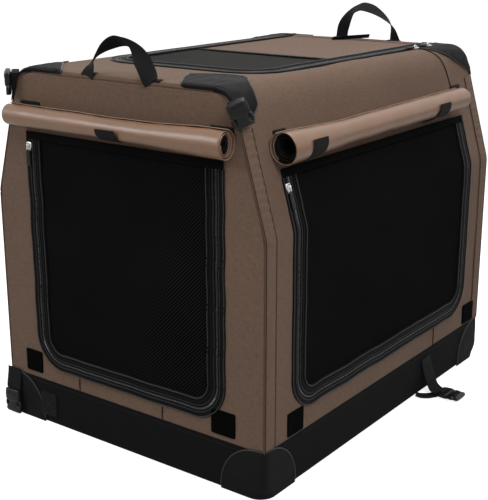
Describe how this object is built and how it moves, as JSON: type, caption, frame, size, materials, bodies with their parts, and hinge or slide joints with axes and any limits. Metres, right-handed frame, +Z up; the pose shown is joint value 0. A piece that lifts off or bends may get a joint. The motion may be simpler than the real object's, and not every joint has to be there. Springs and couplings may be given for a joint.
{
  "type": "folding soft dog crate",
  "caption": "Soft-sided folding pet crate on hinged steel hoops, with zipped mesh doors, a roof hatch, rolled covers and webbing carry handles.",
  "frame": {"origin": "middle of the base's underside, on the ground", "axes": "+Z up; the end door faces -Y and the long side's door faces +X"},
  "size_m": [0.6717, 0.8229, 0.7294],
  "materials": {
    "coated_steel": "black powder coat",
    "bright_zinc": "bright plated",
    "black_plastic": "moulded",
    "black_mesh": "open knitted mesh",
    "tan_lining": "coated, slight sheen",
    "black_webbing": "ribbed webbing",
    "black_weave": "plain weave",
    "mat_fleece": "soft pile",
    "brown_weave": "fine plain weave"
  },
  "bodies": {
    "crate": {"base_tray": "black_weave", "base_frame": "coated_steel", "floor_mat": "mat_fleece", "hinge_bracket_front_left": "black_plastic", "hinge_bracket_front_right": "black_plastic", "hinge_bracket_rear_left": "black_plastic", "hinge_bracket_rear_right": "black_plastic", "hinge_pin_front_left": "bright_zinc", "hinge_pin_front_right": "bright_zinc", "hinge_pin_rear_left": "bright_zinc", "hinge_pin_rear_right": "bright_zinc", "side_wall_left": "brown_weave", "side_wall_right": "brown_weave", "roof_panel": "brown_weave", "left_window": "black_mesh", "top_patch_front_left": "black_weave", "top_patch_front_right": "black_weave", "top_patch_rear_left": "black_weave", "top_patch_rear_right": "black_weave", "base_patch_front_left": "black_weave", "base_patch_front_right": "black_weave", "base_patch_rear_left": "black_weave", "base_patch_rear_right": "black_weave", "corner_buckle_left": "black_plastic", "corner_buckle_right": "black_plastic", "side_strap": "black_webbing", "side_strap_buckle": "black_plastic", "corner_strap": "black_webbing", "corner_strap_buckle": "black_plastic", "side_cover_roll": "tan_lining", "side_roll_strap_1": "black_webbing", "side_roll_strap_2": "black_webbing"},
    "front_end": {"hoop_front": "coated_steel", "front_panel": "brown_weave", "front_cover_roll": "tan_lining", "front_roll_strap": "black_webbing"},
    "rear_end": {"hoop_rear": "coated_steel", "rear_panel": "brown_weave", "rear_window": "black_mesh"},
    "front_door": {"front_door": "black_mesh"},
    "side_door": {"side_door": "black_mesh"},
    "hatch": {"roof_hatch": "brown_weave", "roof_hatch_mesh": "black_mesh"},
    "left_cover": {"left_window_cover": "brown_weave"},
    "rear_cover": {"rear_window_cover": "brown_weave"},
    "front_handle": {"front_handle": "black_webbing"},
    "rear_handle": {"rear_handle": "black_webbing"},
    "front_zip_slider": {"front_zip_slider": "bright_zinc"},
    "front_zip_pull": {"front_zip_pull": "black_plastic"},
    "side_zip_slider": {"side_zip_slider": "bright_zinc"},
    "side_zip_pull": {"side_zip_pull": "black_plastic"},
    "roof_zip_front_slider": {"roof_zip_front_slider": "bright_zinc"},
    "roof_zip_front_pull": {"roof_zip_front_pull": "black_plastic"},
    "roof_zip_rear_slider": {"roof_zip_rear_slider": "bright_zinc"},
    "roof_zip_rear_pull": {"roof_zip_rear_pull": "black_plastic"}
  },
  "joints": [
    {"name": "front_fold", "type": "hinge", "parent": "crate", "child": "front_end", "pos_m": [0, -0.3761, 0.034], "axis": [-1, 0, 0], "range_deg": [0, 88]},
    {"name": "rear_fold", "type": "hinge", "parent": "crate", "child": "rear_end", "pos_m": [0, 0.3761, 0.052], "axis": [1, 0, 0], "range_deg": [0, 75]},
    {"name": "front_door_hinge", "type": "hinge", "parent": "front_end", "child": "front_door", "pos_m": [0, -0.387, 0.531], "axis": [1, 0, 0], "range_deg": [-85, 0]},
    {"name": "side_door_hinge", "type": "hinge", "parent": "crate", "child": "side_door", "pos_m": [0.26636, 0, 0.512], "axis": [0, 1, 0], "range_deg": [-75, 0]},
    {"name": "hatch_hinge", "type": "hinge", "parent": "crate", "child": "hatch", "pos_m": [0, 0.34, 0.652], "axis": [1, 0, 0], "range_deg": [-95, 0]},
    {"name": "left_cover_hinge", "type": "hinge", "parent": "crate", "child": "left_cover", "pos_m": [-0.26215, 0, 0.528], "axis": [0, -1, 0], "range_deg": [-80, 0]},
    {"name": "rear_cover_hinge", "type": "hinge", "parent": "rear_end", "child": "rear_cover", "pos_m": [0, 0.3874, 0.547], "axis": [-1, 0, 0], "range_deg": [-80, 0]},
    {"name": "front_handle_hinge", "type": "hinge", "parent": "crate", "child": "front_handle", "pos_m": [0, -0.3565, 0.6524], "axis": [1, 0, 0], "range_deg": [-85, 0]},
    {"name": "rear_handle_hinge", "type": "hinge", "parent": "crate", "child": "rear_handle", "pos_m": [0, 0.3865, 0.6524], "axis": [1, 0, 0], "range_deg": [-85, 0]},
    {"name": "front_zip_slide", "type": "slide", "parent": "front_end", "child": "front_zip_slider", "axis": [0, 0, 1], "range_m": [-0.34, 0]},
    {"name": "front_zip_pull_swing", "type": "hinge", "parent": "front_zip_slider", "child": "front_zip_pull", "pos_m": [-0.206, -0.392, 0.5174], "axis": [1, 0, 0], "range_deg": [-85, 0]},
    {"name": "side_zip_slide", "type": "slide", "parent": "crate", "child": "side_zip_slider", "axis": [-0.277, 0, 0.9609], "range_m": [-0.06, 0]},
    {"name": "side_zip_pull_swing", "type": "hinge", "parent": "side_zip_slider", "child": "side_zip_pull", "pos_m": [0.27615, -0.305, 0.49608], "axis": [0, 1, 0], "range_deg": [-85, 0]},
    {"name": "roof_zip_front_slide", "type": "slide", "parent": "crate", "child": "roof_zip_front_slider", "axis": [0, 1, 0], "range_m": [-0.43, 0]},
    {"name": "roof_zip_front_pull_swing", "type": "hinge", "parent": "roof_zip_front_slider", "child": "roof_zip_front_pull", "pos_m": [0.185, 0.2564, 0.657], "axis": [1, 0, 0], "range_deg": [-85, 0]},
    {"name": "roof_zip_rear_slide", "type": "slide", "parent": "crate", "child": "roof_zip_rear_slider", "axis": [0, 1, 0], "range_m": [0, 0.007]},
    {"name": "roof_zip_rear_pull_swing", "type": "hinge", "parent": "roof_zip_rear_slider", "child": "roof_zip_rear_pull", "pos_m": [0.185, 0.3104, 0.657], "axis": [1, 0, 0], "range_deg": [-85, 0]}
  ]
}
